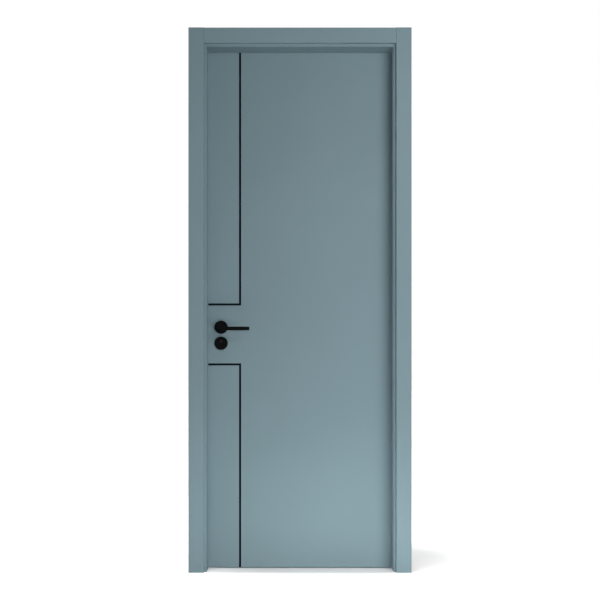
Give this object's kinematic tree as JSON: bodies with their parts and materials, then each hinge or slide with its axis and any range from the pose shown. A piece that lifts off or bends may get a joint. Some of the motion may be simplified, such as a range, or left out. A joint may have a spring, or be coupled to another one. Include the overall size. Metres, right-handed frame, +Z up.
{
  "type": "door with frame",
  "caption": "Blue-grey flush door leaf with black inlaid lines, hung in a rebated frame with flat casings, with a mortise lock and black lever handles on round roses.",
  "frame": {"origin": "on the floor under the middle of the door set's box", "axes": "+Z up, -Y towards the push side that the picture shows, +X towards the hinges"},
  "size_m": [0.898, 0.194, 2.159],
  "materials": {
    "painted_timber": "satin blue-grey lacquer",
    "leaf_timber": "satin blue-grey lacquer on the edges",
    "core_board": "bare tubular chipboard",
    "inlay_black": "satin black",
    "black_metal": "satin black",
    "lock_steel": "zinc-plated",
    "screw_steel": "zinc-plated",
    "plug_brass": "blackened, satin",
    "seal_rubber": "matt",
    "black_plastic": "matt"
  },
  "bodies": {
    "frame": {"lock_jamb": "painted_timber", "hinge_jamb": "painted_timber", "head_jamb": "painted_timber", "lock_casing_front": "painted_timber", "hinge_casing_front": "painted_timber", "head_casing_front": "painted_timber", "lock_casing_rear": "painted_timber", "hinge_casing_rear": "painted_timber", "head_casing_rear": "painted_timber", "lock_seal": "seal_rubber", "hinge_seal": "seal_rubber", "head_seal": "seal_rubber", "strike_plate": "black_metal", "strike_box": "black_plastic", "strike_screws": "screw_steel", "top_hinge_frame_flap": "black_metal", "middle_hinge_frame_flap": "black_metal", "bottom_hinge_frame_flap": "black_metal", "hinge_pins": "black_metal", "frame_flap_screws": "screw_steel"},
    "leaf": {"front_skin": "painted_timber", "rear_skin": "painted_timber", "lock_stile": "leaf_timber", "hinge_stile": "leaf_timber", "top_rail": "leaf_timber", "bottom_rail": "leaf_timber", "core": "core_board", "upper_upright_inlay_front": "inlay_black", "upper_cross_inlay_front": "inlay_black", "lower_upright_inlay_front": "inlay_black", "lower_cross_inlay_front": "inlay_black", "upper_upright_inlay_rear": "inlay_black", "upper_cross_inlay_rear": "inlay_black", "lower_upright_inlay_rear": "inlay_black", "lower_cross_inlay_rear": "inlay_black", "top_hinge_leaf_flap": "black_metal", "middle_hinge_leaf_flap": "black_metal", "bottom_hinge_leaf_flap": "black_metal", "leaf_flap_screws": "screw_steel", "lock_case": "lock_steel", "lock_case_cover": "lock_steel", "forend": "black_metal", "forend_screws": "screw_steel", "lock_cylinder": "black_metal", "cylinder_screw": "screw_steel", "front_rose": "black_metal", "rear_rose": "black_metal", "front_escutcheon": "black_metal", "rear_escutcheon": "black_metal", "rose_bolts": "screw_steel"},
    "handle": {"front_lever": "black_metal", "rear_lever": "black_metal", "spindle": "lock_steel", "follower": "lock_steel"},
    "latch": {"latch_bolt": "lock_steel"},
    "bolt": {"dead_bolt": "lock_steel"},
    "key": {"key_plug": "plug_brass", "turn_hub": "lock_steel", "thumbturn": "black_metal"}
  },
  "joints": [
    {"name": "door_swing", "type": "hinge", "parent": "frame", "child": "leaf", "pos_m": [0.3795, 0.046, 1], "axis": [0, 0, -1], "range_deg": [0, 150]},
    {"name": "handle_turn", "type": "hinge", "parent": "leaf", "child": "handle", "pos_m": [-0.318, 0.0165, 0.973], "axis": [0, 1, 0], "range_deg": [0, 45], "stiffness_Nm_per_rad": 1, "springref_deg": -34.38},
    {"name": "latch_slide", "type": "slide", "parent": "leaf", "child": "latch", "axis": [1, 0, 0], "range_m": [0, 0.012]},
    {"name": "bolt_turn", "type": "hinge", "parent": "leaf", "child": "key", "pos_m": [-0.318, 0.0165, 0.916], "axis": [0, -1, 0], "range_deg": [0, 90]},
    {"name": "bolt_slide", "type": "slide", "parent": "leaf", "child": "bolt", "axis": [-1, 0, 0], "range_m": [0, 0.02]}
  ],
  "couplings": [
    {"joint": "latch_slide", "follows": "handle_turn", "m_per_rad": 0.015},
    {"joint": "bolt_slide", "follows": "bolt_turn", "m_per_rad": 0.0126}
  ]
}
